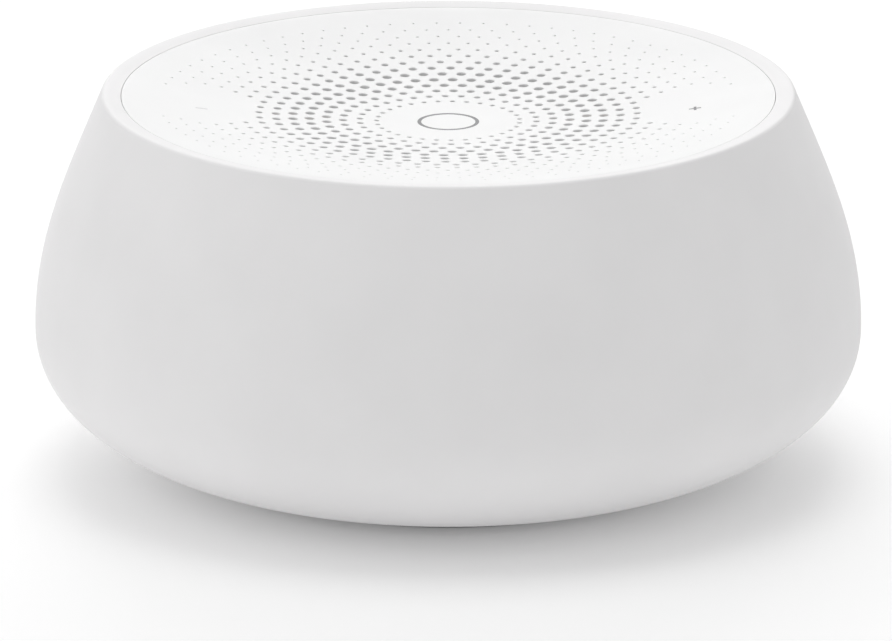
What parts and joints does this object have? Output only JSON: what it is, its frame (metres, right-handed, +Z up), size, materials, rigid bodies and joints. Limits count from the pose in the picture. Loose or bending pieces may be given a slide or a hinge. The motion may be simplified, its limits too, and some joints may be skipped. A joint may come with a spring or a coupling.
{
  "type": "smart speaker",
  "caption": "Small round tabletop smart speaker: white bowl-shaped housing with a dished, perforated touch panel on top, an upward-firing driver and a rubber-footed base.",
  "frame": {"origin": "centre of the rubber ring's underside, on the surface it stands on", "axes": "+Z up; -Y is the front; +Y is the back, with the power socket; +X is the side of the + zone"},
  "size_m": [0.11, 0.11, 0.0511],
  "materials": {
    "housing_plastic": "fine matt moulded surface",
    "panel_plastic": "fine matt moulded surface",
    "carrier_plastic": "moulded, matt",
    "touch_film": "amber film",
    "board": "solder mask",
    "black_plastic": "moulded, matt",
    "chip_black": "moulded epoxy",
    "grey_plastic": "moulded, matt",
    "basket_steel": "black paint",
    "foam": "closed-cell foam",
    "rubber": "soft, matt",
    "foot_rubber": "soft, matt",
    "paper_cone": "pressed pulp",
    "coil": "copper winding on a thin former",
    "spider_cloth": "resin-stiffened cloth",
    "plated_steel": "zinc plated",
    "ferrite": "sintered ferrite",
    "shield_steel": "tin plated sheet",
    "socket_plastic": "nylon",
    "ribbon": "laminated ribbon",
    "wire_red": "PVC",
    "antenna_film": "copper on amber film",
    "lead_grey": "PVC",
    "usb_steel": "nickel plated",
    "button_plastic": "moulded, matt",
    "plunger_plastic": "nylon",
    "spreader_aluminium": "bead blasted",
    "thermal_pad": "silicone",
    "screw_steel": "zinc plated"
  },
  "bodies": {
    "root": {"outer_housing": "housing_plastic", "top_grille": "panel_plastic", "touch_film": "touch_film", "touch_carrier": "carrier_plastic", "mic_boards": "board", "mic_boots": "rubber", "driver_basket": "basket_steel", "driver_gasket": "foam", "surround": "rubber", "spider": "spider_cloth", "top_plate": "plated_steel", "magnet": "ferrite", "yoke": "plated_steel", "baffle": "grey_plastic", "rear_chamber": "grey_plastic", "main_board": "board", "processor": "chip_black", "board_chips": "chip_black", "shield_can": "shield_steel", "board_sockets": "socket_plastic", "touch_cable": "ribbon", "port_cable": "ribbon", "speaker_wires": "wire_red", "wire_grommet": "rubber", "antenna": "antenna_film", "antenna_lead": "lead_grey", "port_board": "board", "usb_shell": "usb_steel", "usb_tongue": "black_plastic", "switch_body": "black_plastic", "heat_spreader": "spreader_aluminium", "thermal_pad": "thermal_pad", "base_plate": "housing_plastic", "foot_ring": "foot_rubber", "base_screws": "screw_steel", "board_screws": "screw_steel", "baffle_screws": "screw_steel", "driver_screws": "screw_steel", "port_screws": "screw_steel"},
    "cone": {"speaker_cone": "paper_cone", "dust_cap": "paper_cone", "voice_coil": "coil"},
    "button": {"rear_button": "button_plastic", "switch_plunger": "plunger_plastic"}
  },
  "joints": [
    {"name": "cone_stroke", "type": "slide", "parent": "root", "child": "cone", "axis": [0, 0, 1], "range_m": [-0.002, 0.002], "stiffness_N_per_m": 1200, "deforming": ["surround", "spider"]},
    {"name": "button_press", "type": "slide", "parent": "root", "child": "button", "axis": [-0.2756, -0.9613, 0], "range_m": [0, 0.0004], "stiffness_N_per_m": 1500}
  ]
}
